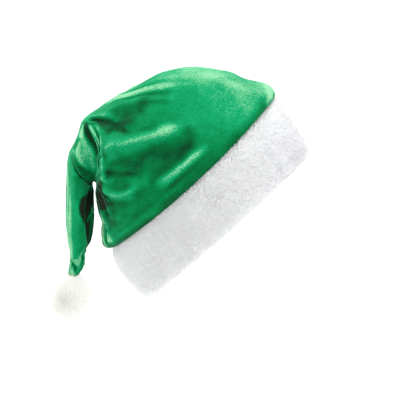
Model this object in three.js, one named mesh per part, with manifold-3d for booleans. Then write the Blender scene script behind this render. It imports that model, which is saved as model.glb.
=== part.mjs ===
// A santa hat as it sits when worn: a velvet cone that stands up from a white plush band,
// bends over at the back and hangs as a tail with a pompom at its end.
// Millimetres, +Z up, +X to the wearer's front, -Y to the wearer's right. The origin is the
// middle of the opening that the head goes into. Angles go round the hat from the front (0)
// by the near side (90) to the back (180) and the far side (270).
import * as THREE from "three";
import { mergeVertices } from "three/addons/utils/BufferGeometryUtils.js";
import Module from "manifold-3d";

// Plush band: the ring that goes round the head
const rimInnerLength = 205; // front to back inside the band
const rimInnerWidth = 152; // side to side inside the band
const bandThickness = 11;
const bandHeight = 64;
const bandLean = 10; // how far the band's top leans to the front
const bandSkew = 3; // how much higher the band is in front than behind
const bandDip = 6; // how much lower its top runs at the sides
const rimTilt = 42; // degrees that the opening tips back
const lockRelief = 1.2; // plush locks stand out of the band's face by this
const lockDroop = 2.4; // and their tips hang down by this
const seamAngle = 162; // where the band and the crown are closed by a seam
const seamDepth = 1.2;
const bandSides = 76;

// Velvet crown and tail
const cloth = 1.8; // velvet and backing
const hemDepth = 16; // the crown's edge is sewn this deep inside the band
const clearance = 0.4;
const crownRise = 112; // band top to the highest point of the crown
const tailDrop = 92; // notch to the pompom's neck
const tailWidth = 27; // front to back under the notch
const foldWidth = 12;
const foldDepth = 9;
const crownSides = 52;

// Pompom
const pompomCore = 16.5;
const pompomRadius = 21;
const pompomOffset = 1.2; // its middle is this far behind the tail's tip
const neckRoom = 1.5; // between the tail's tip and the locks round it
const lockWidth = 10;
const lockRoot = 5; // how deep in the core a lock starts
const lockVariation = 0.5; // some locks are shorter by this or twice this
const lockCount = 62;

const radians = THREE.MathUtils.degToRad;
const halfLength = rimInnerLength / 2;
const halfWidth = rimInnerWidth / 2;
const reach = halfLength + bandThickness;
const tilt = radians(rimTilt);
const rimForward = new THREE.Vector3(Math.cos(tilt), 0, Math.sin(tilt));
const rimUp = new THREE.Vector3(-Math.sin(tilt), 0, Math.cos(tilt));

// Cross-sections of the crown, from the band to the notch. front and back are the places of
// the section's two ends: [along the rim in shares of reach, above the band in shares of
// crownRise]. width is the half width in shares of the rim's; near and far bow the two flanks
// along the crown in shares of reach; egg makes the front (-) or the back (+) narrower.
const crownSections = [
  { front: [1.098, 0.07], back: [-0.93, 0.045], width: 1.18, near: -0.045, far: -0.045, egg: -0.04 },
  { front: [1.09, 0.15], back: [-0.905, 0.105], width: 1.18, near: -0.04, far: -0.04, egg: -0.06 },
  { front: [1.0, 0.29], back: [-0.83, 0.175], width: 1.15, near: -0.02, far: -0.02, egg: -0.08 },
  { front: [0.865, 0.51], back: [-0.785, 0.27], width: 1.09, near: 0, far: 0, egg: -0.1 },
  { front: [0.7, 0.7], back: [-0.745, 0.35], width: 1.01, near: 0.02, far: 0.02, egg: -0.1 },
  { front: [0.47, 0.84], back: [-0.705, 0.415], width: 0.92, near: 0.03, far: 0.03, egg: -0.08 },
  { front: [0.25, 0.905], back: [-0.672, 0.468], width: 0.84, near: 0.02, far: 0.02, egg: -0.05 },
  { front: [0.06, 0.955], back: [-0.65, 0.498], width: 0.77, near: 0, far: 0, egg: 0 },
  { front: [-0.12, 0.985], back: [-0.637, 0.513], width: 0.71, near: -0.04, far: 0, egg: 0 },
  { front: [-0.24, 0.998], back: [-0.63, 0.522], width: 0.655, near: -0.085, far: 0, egg: 0 },
];

// The notch under the fold-over, where the crown's back meets the tail, in the same shares.
const notchPlace = [-0.646, 0.54];

// Cross-sections from the fold-over down the tail. front (the outer side) and back (the side
// to the crown) are [level in shares of tailWidth, upright in shares of tailDrop] from the
// notch; the first rows fan round it as gathered ridges and valleys.
const tailSections = [
  { front: [-0.31, 0.67], back: [0.075, 0.004], width: 0.62, near: -0.1, far: -0.06 },
  { front: [-0.4, 0.615], back: [0.05, 0.008], width: 0.48, near: -0.085, far: -0.04 },
  { front: [-0.46, 0.56], back: [0.03, 0.009], width: 0.44, near: -0.04, far: 0 },
  { front: [-0.51, 0.51], back: [0.015, 0.007], width: 0.47, near: 0.03, far: 0.03 },
  { front: [-0.6, 0.46], back: [0, 0], width: 0.45, near: 0.065, far: 0.065 },
  { front: [-0.72, 0.4], back: [-0.012, -0.012], width: 0.38, near: 0.05, far: 0.06 },
  { front: [-0.86, 0.33], back: [-0.025, -0.03], width: 0.385, near: 0.03, far: 0.04 },
  { front: [-0.97, 0.23], back: [-0.05, -0.05], width: 0.39, near: 0.02, far: 0.02 },
  { front: [-1.0, 0.08], back: [-0.06, -0.09], width: 0.38, near: 0.01, far: 0 },
  { front: [-1.01, -0.09], back: [-0.04, -0.16], width: 0.365, near: 0, far: 0 },
  { front: [-1.03, -0.28], back: [0, -0.29], width: 0.335, near: 0, far: 0 },
  { front: [-0.99, -0.48], back: [0, -0.47], width: 0.28, near: 0, far: 0 },
  { front: [-0.9, -0.66], back: [-0.1, -0.64], width: 0.215, near: 0, far: 0 },
  { front: [-0.85, -0.78], back: [-0.29, -0.76], width: 0.15, near: 0, far: 0 },
  { front: [-0.87, -0.9], back: [-0.38, -0.89], width: 0.11, near: 0, far: 0 },
  { front: [-0.88, -1.0], back: [-0.5, -1.0], width: 0.075, near: 0, far: 0 },
  { front: [-0.84, -1.07], back: [-0.56, -1.07], width: 0.06, near: 0, far: 0 },
];

// Folds of the velvet. Each runs through three places [section, degrees round]. width is its
// half width at its two ends in shares of foldWidth, height is in shares of foldDepth (a valley
// is negative), and edge is how sharp its sides are.
const folds = [
  // name, start, middle, end, width, height, edge
  ["top ridge", [12.8, 7], [10.8, 30], [8.6, 36], [0.5, 0.75], [0.33, 0.33], 1.6],
  ["top valley", [12.6, 44], [10.2, 60], [8.2, 52], [0.75, 1], [-0.55, -0.5], 2],
  ["near crease", [14, 30], [12.6, 60], [10.6, 84], [0.42, 0.67], [-0.78, -0.55], 1.6],
  ["near ridge", [12.4, 100], [9.4, 93], [7.3, 64], [0.75, 1], [0.67, 0.5], 1.8],
  ["near valley", [11.2, 134], [9, 105], [6.8, 74], [0.67, 1], [-1, -0.6], 2],
  ["low ridge", [7, 116], [6.5, 94], [6.4, 72], [0.5, 0.67], [0.55, 0.33], 1.6],
  ["hook ridge", [10.8, 140], [7.9, 136], [7.6, 112], [0.42, 0.42], [0.55, 0.5], 1.6],
  ["hook pocket", [10, 128], [8.8, 123], [8.1, 112], [0.5, 0.5], [-0.55, -0.45], 2],
  ["back hollow", [10.4, 148], [8.6, 152], [7, 158], [0.5, 0.67], [-0.5, -0.45], 2],
  ["back bulge", [7.4, 176], [6.4, 180], [5.3, 186], [0.67, 0.75], [0.38, 0.45], 2],
  ["back seam", [8, 165], [6.4, 164], [5.2, 167], [0.25, 0.25], [-0.28, -0.28], 1.6],
  ["tail channel", [20.6, 158], [24, 146], [27.4, 158], [0.58, 0.5], [-0.88, -0.55], 2.2],
  ["tail lip", [21.5, 112], [24.4, 108], [27.2, 118], [0.42, 0.33], [0.22, 0.17], 1.8],
  ["tail valley", [21, 40], [23.5, 55], [26.5, 40], [0.5, 0.42], [-0.28, -0.22], 2],
  ["far valley", [12.5, -48], [10, -70], [7.4, -86], [0.75, 1], [-0.67, -0.45], 2],
  ["far ridge", [12.2, -84], [9.6, -102], [7.2, -112], [0.75, 0.92], [0.55, 0.45], 1.8],
  ["far low valley", [11, -122], [8.9, -118], [6.8, -100], [0.67, 0.92], [-0.78, -0.5], 2],
  ["far top ridge", [11.2, -26], [9.2, -36], [7.2, -48], [0.67, 0.75], [0.33, 0.28], 1.8],
  ["far hook", [10.2, -142], [8, -140], [6.6, -126], [0.5, 0.58], [0.45, 0.38], 1.7],
  ["tail far valley", [20.6, -110], [23.5, -90], [27, -100], [0.5, 0.42], [-0.45, -0.33], 2],
];

// A place in the rim's own directions: along to the front, up out of the opening.
function rimFrame(along, up) {
  return rimForward.clone().multiplyScalar(along).addScaledVector(rimUp, up);
}

// A point of the band: out from its inner wall, rise above its lower edge.
function rimPoint(angle, out, rise) {
  const cos = Math.cos(angle);
  const sin = Math.sin(angle);
  const normal = new THREE.Vector2(cos / halfLength, sin / halfWidth).normalize();
  const share = rise / bandHeight;
  const along = halfLength * cos + out * normal.x + bandLean * share;
  const across = halfWidth * sin + out * normal.y;
  const up = rise + (bandSkew * cos - bandDip * sin * sin) * share;
  const point = rimFrame(along, up);
  point.y = -across;
  return point;
}

// A point of a cross-section: an oval between its front and back ends, with bowed flanks.
function sectionPoint(front, back, section, angle) {
  const cos = Math.cos(angle);
  const sin = Math.sin(angle);
  const half = front.clone().sub(back).multiplyScalar(0.5);
  const point = front.clone().add(back).multiplyScalar(0.5).addScaledVector(half, cos);
  const onward = half.clone().normalize();
  const bow = (sin > 0 ? section.near : section.far) * reach * sin * sin;
  point.x -= onward.z * bow;
  point.z += onward.x * bow;
  point.y = -section.width * halfWidth * sin * (1 + (section.egg ?? 0) * cos);
  return point;
}

// The points that one line down the hat passes through, from the hem to the tail's tip.
function keyPoints(angle) {
  const overBand = (share) => bandHeight + share * crownRise;
  const crownEnd = ([along, up]) => rimFrame(along * reach, overBand(up));
  const notch = crownEnd(notchPlace);
  const tailEnd = ([level, upright]) =>
    notch.clone().add(new THREE.Vector3(level * tailWidth, 0, upright * tailDrop));
  const points = [
    rimPoint(angle, -clearance, bandHeight - hemDepth),
    rimPoint(angle, -clearance, bandHeight - hemDepth / 2),
    rimPoint(angle, -clearance, bandHeight - 5 * clearance),
    rimPoint(angle, bandThickness / 4, bandHeight + clearance),
    rimPoint(angle, bandThickness * 0.75, bandHeight + 3 * clearance),
  ];
  for (const row of crownSections) {
    points.push(sectionPoint(crownEnd(row.front), crownEnd(row.back), row, angle));
  }
  for (const row of tailSections) {
    points.push(sectionPoint(tailEnd(row.front), tailEnd(row.back), row, angle));
  }
  return points;
}

const hemRows = 5;
const lastRow = hemRows + crownSections.length + tailSections.length - 1;

function smoothPoint(station, angle) {
  const line = new THREE.CatmullRomCurve3(keyPoints(angle), false, "catmullrom", 0.5);
  return line.getPoint(station / lastRow);
}

function smoothNormal(station, angle) {
  const step = 0.02;
  const before = smoothPoint(Math.max(station - step, 0), angle);
  const after = smoothPoint(Math.min(station + step, lastRow), angle);
  const left = smoothPoint(station, angle - step);
  const right = smoothPoint(station, angle + step);
  return after.sub(before).cross(right.sub(left)).normalize();
}

// The line of a fold as points on the smooth surface.
function foldLine(start, middle, end, steps = 24) {
  const through = (a, b, c, share) => {
    const handle = 2 * b - (a + c) / 2;
    return (1 - share) ** 2 * a + 2 * share * (1 - share) * handle + share ** 2 * c;
  };
  return Array.from({ length: steps + 1 }, (_, index) => {
    const share = index / steps;
    const station = through(start[0], middle[0], end[0], share);
    const angle = radians(through(start[1], middle[1], end[1], share));
    return smoothPoint(station, angle);
  });
}

const foldLines = folds.map(([name, start, middle, end, width, height, edge]) => {
  return { name, line: foldLine(start, middle, end), width, height, edge };
});

// How far a fold lifts the surface at a point: highest on its line, fading at its ends.
function foldHeight(fold, point) {
  const nearest = new THREE.Vector3();
  let best = { distance: Infinity, share: 0 };
  for (let index = 1; index < fold.line.length; index += 1) {
    const piece = new THREE.Line3(fold.line[index - 1], fold.line[index]);
    const part = piece.closestPointToPointParameter(point, true);
    const distance = piece.at(part, nearest).distanceTo(point);
    if (distance < best.distance) {
      best = { distance, share: (index - 1 + part) / (fold.line.length - 1) };
    }
  }
  const width = THREE.MathUtils.lerp(...fold.width, best.share) * foldWidth;
  const height = THREE.MathUtils.lerp(...fold.height, best.share) * foldDepth;
  const fade = THREE.MathUtils.smoothstep(Math.min(best.share, 1 - best.share), 0, 0.18);
  return height * fade * Math.exp(-((best.distance / width) ** fold.edge));
}

function foldedPoint(station, angle) {
  const point = smoothPoint(station, angle);
  let lift = 0;
  for (const fold of foldLines) {
    lift += foldHeight(fold, point);
  }
  return point.addScaledVector(smoothNormal(station, angle), lift);
}

// A closed mesh from shared points and triangles.
function meshGeometry(points, triangles) {
  const geometry = new THREE.BufferGeometry().setFromPoints(points);
  geometry.setIndex(triangles);
  return geometry;
}

// Two triangles for each cell between two rings of equal length, facing out or, for an inner
// face, in. Both kinds split a cell along the same diagonal, so that the wall stays even.
function joinRings(triangles, first, second, count, facesIn = false) {
  for (let side = 0; side < count; side += 1) {
    const next = (side + 1) % count;
    const lower = [first + side, second + side, second + next];
    const upper = [first + side, second + next, first + next];
    triangles.push(...(facesIn ? lower.reverse() : lower));
    triangles.push(...(facesIn ? upper.reverse() : upper));
  }
}

// Places down the hat where the crown has a ring of points: close in the folded cloth.
function crownStations() {
  const closeFrom = hemRows - 1;
  const closeTo = hemRows + 6;
  const stations = [];
  for (let row = 0; row <= lastRow; row += row >= closeFrom && row < closeTo ? 0.5 : 1) {
    stations.push(row);
  }
  return stations;
}

// The crown is a hollow shell: its folded outer face, the same face moved in by the cloth's
// thickness, a hem edge between them, and a closed tip.
function crownGeometry() {
  const stations = crownStations();
  const rings = stations.map((station) =>
    Array.from({ length: crownSides }, (_, side) =>
      foldedPoint(station, (side / crownSides) * 2 * Math.PI),
    ),
  );
  const points = rings.flat();
  const rows = rings.length;
  for (let row = 0; row < rows; row += 1) {
    for (let side = 0; side < crownSides; side += 1) {
      const normal = new THREE.Vector3();
      for (const [rowStep, sideStep] of [[1, 1], [2, 1], [1, 2]]) {
        const down = rings[Math.max(row - rowStep, 0)][side];
        const up = rings[Math.min(row + rowStep, rows - 1)][side];
        const left = rings[row][(side + crownSides - sideStep) % crownSides];
        const right = rings[row][(side + sideStep) % crownSides];
        normal.add(up.clone().sub(down).cross(right.clone().sub(left)).normalize());
      }
      const inner = rings[row][side].clone().addScaledVector(normal.normalize(), -cloth);
      if (row === rows - 1) {
        inner.z += cloth;
      }
      points.push(inner);
    }
  }
  const innerStart = rows * crownSides;
  const middle = (start) =>
    points
      .slice(start, start + crownSides)
      .reduce((sum, point) => sum.add(point), new THREE.Vector3())
      .divideScalar(crownSides);
  const outerTip = points.push(middle(innerStart - crownSides)) - 1;
  const innerTip = points.push(middle(2 * innerStart - crownSides)) - 1;

  const triangles = [];
  joinRings(triangles, innerStart, 0, crownSides);
  for (let row = 0; row < rows - 1; row += 1) {
    const ring = row * crownSides;
    joinRings(triangles, ring, ring + crownSides, crownSides);
    joinRings(triangles, innerStart + ring, innerStart + ring + crownSides, crownSides, true);
  }
  for (let side = 0; side < crownSides; side += 1) {
    const next = (side + 1) % crownSides;
    const last = innerStart - crownSides;
    triangles.push(last + next, last + side, outerTip);
    triangles.push(innerStart + last + side, innerStart + last + next, innerTip);
  }
  return meshGeometry(points, triangles);
}

// The band's section, from the inner wall's foot round by the top and down the plush face:
// out in shares of bandThickness, rise in shares of bandHeight, and how much its locks stand out.
const bandSection = [
  { out: 0.1, rise: 0.015, lock: 0 },
  { out: 0, rise: 0.06, lock: 0 },
  { out: 0, rise: 0.5, lock: 0 },
  { out: 0, rise: 0.94, lock: 0 },
  { out: 0.14, rise: 0.985, lock: 0 },
  { out: 0.5, rise: 1, lock: 0 },
  { out: 0.84, rise: 0.965, lock: 0.3 },
  { out: 0.98, rise: 0.87, lock: 0.8 },
  { out: 1, rise: 0.71, lock: 1 },
  { out: 1, rise: 0.55, lock: 1 },
  { out: 1, rise: 0.39, lock: 1 },
  { out: 1, rise: 0.24, lock: 1 },
  { out: 0.95, rise: 0.11, lock: 0.8 },
  { out: 0.6, rise: 0.01, lock: 0.3 },
];

function bandGeometry() {
  const seamSide = Math.round((seamAngle / 360) * bandSides);
  const points = [];
  const triangles = [];
  bandSection.forEach(({ out, rise, lock }, row) => {
    for (let side = 0; side < bandSides; side += 1) {
      const angle = (side / bandSides) * 2 * Math.PI;
      const isTip = (side + row) % 2 === 0;
      const groove = side === seamSide ? seamDepth * lock : 0;
      const stand = (isTip ? lock : -lock / 2) * lockRelief - groove;
      const droop = isTip ? lock * lockDroop : 0;
      points.push(rimPoint(angle, out * bandThickness + stand, rise * bandHeight - droop));
    }
    const nextRow = (row + 1) % bandSection.length;
    joinRings(triangles, nextRow * bandSides, row * bandSides, bandSides);
  });
  return meshGeometry(points, triangles);
}

const wasm = await Module();
wasm.setup();

// A closed three.js geometry as a solid for joining and cutting.
function solid(geometry) {
  const bare = geometry.clone();
  bare.deleteAttribute("normal");
  bare.deleteAttribute("uv");
  const merged = mergeVertices(bare, 1e-4);
  return new wasm.Manifold(
    new wasm.Mesh({
      numProp: 3,
      vertProperties: new Float32Array(merged.attributes.position.array),
      triVerts: new Uint32Array(merged.index.array),
    }),
  );
}

function solidGeometry(shape) {
  const { vertProperties, triVerts } = shape.getMesh();
  const geometry = new THREE.BufferGeometry();
  geometry.setAttribute("position", new THREE.BufferAttribute(vertProperties, 3));
  geometry.setIndex(new THREE.BufferAttribute(triVerts, 1));
  return geometry;
}

// One lock of the pompom: a pointed tuft that starts inside the core.
function lockSolid(direction, index) {
  const tuck = (index % 3) * lockVariation;
  const length = pompomRadius - pompomCore + lockRoot - tuck;
  const cone = new THREE.ConeGeometry(lockWidth / 2, length, 5);
  cone.translate(0, pompomCore - lockRoot + length / 2, 0);
  const up = new THREE.Vector3(0, 1, 0);
  cone.applyQuaternion(new THREE.Quaternion().setFromUnitVectors(up, direction));
  return solid(cone);
}

// The tail's tip goes a little way into the pompom's locks, above the core.
function tailTip() {
  const row = tailSections[tailSections.length - 1];
  const last = smoothPoint(lastRow, 0).add(smoothPoint(lastRow, Math.PI)).multiplyScalar(0.5);
  const spread = Math.abs(row.front[0] - row.back[0]) * tailWidth * 0.5;
  return { place: last, radius: Math.max(spread, row.width * halfWidth) };
}

function pompomGeometry() {
  const tip = tailTip();
  let shape = solid(new THREE.IcosahedronGeometry(pompomCore, 2));
  const golden = Math.PI * (3 - Math.sqrt(5));
  for (let index = 0; index < lockCount; index += 1) {
    const height = 1 - (2 * index + 1) / lockCount;
    const round = Math.sqrt(1 - height * height);
    const turn = index * golden;
    const direction = new THREE.Vector3(round * Math.cos(turn), round * Math.sin(turn), height);
    shape = shape.add(lockSolid(direction, index));
  }
  const neckRadius = tip.radius + neckRoom;
  const neckLength = pompomRadius;
  const neck = new THREE.CylinderGeometry(neckRadius + neckRoom, neckRadius, neckLength, 12);
  neck.rotateX(Math.PI / 2);
  neck.translate(pompomOffset, 0, pompomCore + clearance + neckLength / 2);
  return solidGeometry(shape.subtract(solid(neck)));
}

function material(color, roughness) {
  return new THREE.MeshStandardMaterial({ color, roughness, metalness: 0 });
}

function piece(name, geometry, look) {
  const mesh = new THREE.Mesh(geometry, look);
  mesh.name = name;
  return mesh;
}

const velvet = material("#0f8a4f", 0.85);
const plush = material("#e9e9e6", 0.95);

const hat = new THREE.Group();
hat.add(piece("crown", crownGeometry(), velvet));
hat.add(piece("fur_band", bandGeometry(), plush));

const tipPlace = tailTip().place;
const pompom = piece("pompom", pompomGeometry(), plush.clone());
pompom.position.set(
  tipPlace.x - pompomOffset,
  0,
  tipPlace.z - 2 * clearance - pompomCore,
);
hat.add(pompom);

export default hat;
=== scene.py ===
import math

import bmesh
import bpy
import numpy as np
from bpy.props import FloatProperty, FloatVectorProperty, IntProperty, PointerProperty
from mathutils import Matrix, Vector, noise


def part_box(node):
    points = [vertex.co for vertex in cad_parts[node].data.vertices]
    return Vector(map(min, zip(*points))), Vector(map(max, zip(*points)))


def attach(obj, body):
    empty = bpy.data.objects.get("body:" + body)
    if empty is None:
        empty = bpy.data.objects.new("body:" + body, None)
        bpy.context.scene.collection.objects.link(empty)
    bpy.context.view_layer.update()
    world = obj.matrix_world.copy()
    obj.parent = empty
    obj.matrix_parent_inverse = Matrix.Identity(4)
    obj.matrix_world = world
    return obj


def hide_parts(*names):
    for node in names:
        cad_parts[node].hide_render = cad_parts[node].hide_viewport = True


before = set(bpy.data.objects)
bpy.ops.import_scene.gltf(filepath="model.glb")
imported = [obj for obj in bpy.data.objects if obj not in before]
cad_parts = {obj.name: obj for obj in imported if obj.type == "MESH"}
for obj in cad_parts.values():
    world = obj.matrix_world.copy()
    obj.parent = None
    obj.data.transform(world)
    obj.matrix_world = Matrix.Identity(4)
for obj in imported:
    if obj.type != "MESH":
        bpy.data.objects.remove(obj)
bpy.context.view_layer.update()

bl_info = {
    "name": "Santa hat",
    "version": (1, 0, 0),
    "blender": (4, 5, 0),
    "location": "View3D > Sidebar > Hat",
    "description": "A velvet stocking cap with a plush band and a pompom, as it sits when worn",
    "category": "Object",
}

ROOT = "root"


# Sizes and colours that a user would change

def number(label, text, value, **kind):
    return FloatProperty(name=label, description=text, default=value, **kind)


def metres(label, text, value):
    return number(label, text, value, unit="LENGTH")


def watts(label, text, value):
    return number(label, text, value, unit="POWER")


def degrees(label, text, value):
    return number(label, text, math.radians(value), subtype="ANGLE")


def whole(label, text, value):
    return IntProperty(name=label, description=text, default=value)


def tint(label, text, value):
    return FloatVectorProperty(name=label, description=text, subtype="COLOR", size=3, default=value)


class HatSizes(bpy.types.PropertyGroup):
    """Sizes of the hat's cut, as it sits when worn."""

    rim_length: metres("Rim length", "Front to back inside the band", 0.205)
    rim_width: metres("Rim width", "Side to side inside the band", 0.152)
    rim_tilt: degrees("Rim tilt", "How far the opening tips back", 42)
    band_thickness: metres("Band thickness", "Backing and pile of the plush band", 0.011)
    band_height: metres("Band height", "Lower edge to top edge of the plush band", 0.064)
    band_lean: metres("Band lean", "How far the band's top leans to the front", 0.010)
    band_skew: metres("Band skew", "How much higher the band is in front than behind", 0.003)
    band_dip: metres("Band dip", "How much lower the band's top runs at the sides", 0.006)
    band_drop: metres("Band drop", "How much lower the band's top runs in front", 0.0022)
    band_slump: metres("Band slump", "How far the plush stands off behind", 0.0055)
    hem_depth: metres("Hem depth", "How deep the crown is sewn inside the band", 0.016)
    seam_gap: metres("Seam gap", "Between the velvet and the band", 0.0004)
    cloth: metres("Cloth", "Thickness of the velvet and its backing", 0.0018)
    crown_rise: metres("Crown rise", "Band top to the highest point of the crown", 0.112)
    tail_drop: metres("Tail drop", "From the notch to the pompom's neck", 0.092)
    tail_width: metres("Tail width", "Front to back under the notch", 0.027)
    fold_width: metres("Fold width", "Half width of a broad fold", 0.012)
    fold_depth: metres("Fold depth", "Height of the deepest fold", 0.009)
    flat_cut: FloatVectorProperty(
        name="Flat cut", description="Width and length of the flat velvet before it is sewn",
        size=2, default=(0.64, 0.38))
    flat_area: number("Flat area", "Area of the cut, which narrows to the tail", 0.098)
    band_fill: number("Band fill", "How full the doubled band is, 0 slack to 1 tight", 0.5)
    seam_angle: degrees("Seam angle", "Where the back seam is, from the front round the near side", 164)


class PileSizes(bpy.types.PropertyGroup):
    """The white pile of the band and the pompom."""

    band_pile: metres("Band pile", "Length of the band's pile", 0.0060)
    band_density: number("Band density", "Strands on a square metre of the band", 7.4e6)
    strand_width: metres("Strand width", "Width of one tuft of pile", 0.00034)
    pompom_radius: metres("Pompom radius", "Middle to the tips of the pile", 0.0245)
    pompom_core: metres("Pompom core", "Middle to where the pile starts to show", 0.0125)
    pompom_fill: number("Pompom fill", "How tight the pompom is tied, 0 slack to 1 tight", 0.8)
    # Painted light: an even emission over the pompom's pile, standing in for light between its strands
    pompom_painted_glow: number("Pompom glow", "Light held between the pompom's strands", 0.056)
    pompom_warm: number("Pompom warm", "Blue in the pompom's shade, against the band's", 0.965)
    neck_radius: metres("Neck radius", "Size of the tuft that reaches over the tail's tip", 0.0045)
    neck_pile: metres("Neck pile", "Length of that tuft's pile", 0.0055)
    neck_density: number("Neck density", "Strands a square metre of that tuft", 3.0e7)
    pompom_strands: whole("Pompom strands", "How many strands the pompom has", 95000)
    seed: whole("Seed", "Fixes where the strands stand", 7)


class HatColours(bpy.types.PropertyGroup):
    """Colours of the velvet and the plush, in linear light."""

    # Painted shadow: the velvet's colour where the painted shade between the tail and the crown is deepest
    velvet_painted_shadow: tint("Velvet pit", "Pile inside the closed folds, where hardly any light gets",
                     (0.011, 0.017, 0.010))
    # Painted shade: the velvet's colour in the valleys and at the lowest painted tones
    velvet_painted_shade: tint("Velvet deep", "Pile seen end on, in the valleys", (0.0012, 0.030, 0.009))
    velvet_mid: tint("Velvet", "Pile of the smooth cloth", (0.0002, 0.140, 0.037))
    # Painted highlight: the velvet's colour on the ridges and the faces turned to the light
    velvet_painted_highlight: tint("Velvet light", "Pile laid over on the ridges", (0.004, 0.255, 0.098))
    # Brightest painted highlight: on the sharpest ridges and the faces turned up
    velvet_painted_bright_highlight: tint("Velvet frost", "Pile crushed flat on the sharpest ridges", (0.215, 0.510, 0.285))
    velvet_sheen: tint("Velvet sheen", "Tint of the pile at grazing angles", (0.16, 1.0, 0.52))
    backing: tint("Velvet backing", "Knitted back of the velvet, inside the hat", (0.004, 0.120, 0.045))
    plush: tint("Plush", "White pile", (0.945, 0.950, 0.955))
    # Greyer white picked by random patches and speckle, and the base of the painted shade to the front
    plush_shade: tint("Plush shade", "White pile near its roots", (0.91, 0.915, 0.925))


class StudioSizes(bpy.types.PropertyGroup):
    """Camera, floor and lights."""

    camera_distance: metres("Camera distance", "From the camera to the middle of the hat", 1.5)
    camera_rise: degrees("Camera rise", "How far above level the camera looks from", 4)
    frame_width: metres("Frame width", "What the picture's width shows at the hat", 0.400)
    floor_drop: metres("Floor drop", "Floor below the opening's middle", 0.30)
    key_power: watts("Overhead light", "Power of the soft light above", 6.0)
    fill_power: watts("Front light", "Power of the soft light by the camera", 6.0)
    rim_power: watts("Back light", "Power of the light behind, which catches the pile's edge", 5.0)
    surround: number("Surround", "Strength of the white surroundings", 1.37)


# The shape of the cloth, set to meet the photograph. Lengths are shares of the sizes above.

# Front along, up; back along, up; half width; near bow; far bow; egg
CROWN_SECTIONS = (
    ((1.090, 0.066), (-0.922, 0.026), 1.18, -0.045, -0.045, -0.04),
    ((1.078, 0.142), (-0.898, 0.088), 1.18, -0.040, -0.040, -0.06),
    ((0.990, 0.285), (-0.826, 0.162), 1.15, -0.020, -0.020, -0.08),
    ((0.865, 0.510), (-0.785, 0.270), 1.09, 0.000, 0.000, -0.10),
    ((0.700, 0.700), (-0.745, 0.350), 1.01, 0.020, 0.020, -0.10),
    ((0.470, 0.840), (-0.705, 0.415), 0.92, 0.030, 0.030, -0.08),
    ((0.250, 0.905), (-0.659, 0.456), 0.84, 0.020, 0.020, -0.05),
    ((0.060, 0.955), (-0.633, 0.483), 0.77, 0.000, 0.000, 0.00),
    ((-0.120, 0.985), (-0.620, 0.497), 0.71, -0.040, 0.000, 0.00),
    ((-0.240, 0.998), (-0.614, 0.507), 0.655, -0.085, 0.000, 0.00),
)
NOTCH = (-0.633, 0.528)

# Outer side level, upright; inner side level, upright; half width; near bow; far bow
TAIL_SECTIONS = (
    ((-0.38, 0.670), (0.075, 0.004), 0.62, -0.100, -0.060),
    ((-0.47, 0.615), (0.050, 0.008), 0.48, -0.085, -0.040),
    ((-0.53, 0.560), (0.030, 0.009), 0.44, -0.040, 0.000),
    ((-0.58, 0.510), (0.015, 0.007), 0.47, 0.030, 0.030),
    ((-0.65, 0.460), (0.000, 0.000), 0.45, 0.065, 0.065),
    ((-0.76, 0.400), (-0.012, -0.012), 0.38, 0.050, 0.060),
    ((-0.88, 0.330), (-0.012, -0.030), 0.385, 0.030, 0.040),
    ((-0.97, 0.230), (0.000, -0.050), 0.39, 0.020, 0.020),
    ((-0.99, 0.080), (0.030, -0.090), 0.38, 0.010, 0.000),
    ((-1.00, -0.090), (0.030, -0.160), 0.365, 0.000, 0.000),
    ((-1.02, -0.280), (0.020, -0.290), 0.335, 0.000, 0.000),
    ((-0.99, -0.480), (0.005, -0.470), 0.28, 0.000, 0.000),
    ((-0.92, -0.660), (-0.090, -0.640), 0.215, 0.000, 0.000),
    ((-0.88, -0.780), (-0.330, -0.760), 0.15, 0.000, 0.000),
    ((-0.90, -0.900), (-0.330, -0.890), 0.11, 0.000, 0.000),
    ((-0.93, -1.000), (-0.530, -1.000), 0.075, 0.000, 0.000),
    ((-0.91, -1.070), (-0.630, -1.070), 0.06, 0.000, 0.000),
)

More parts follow.
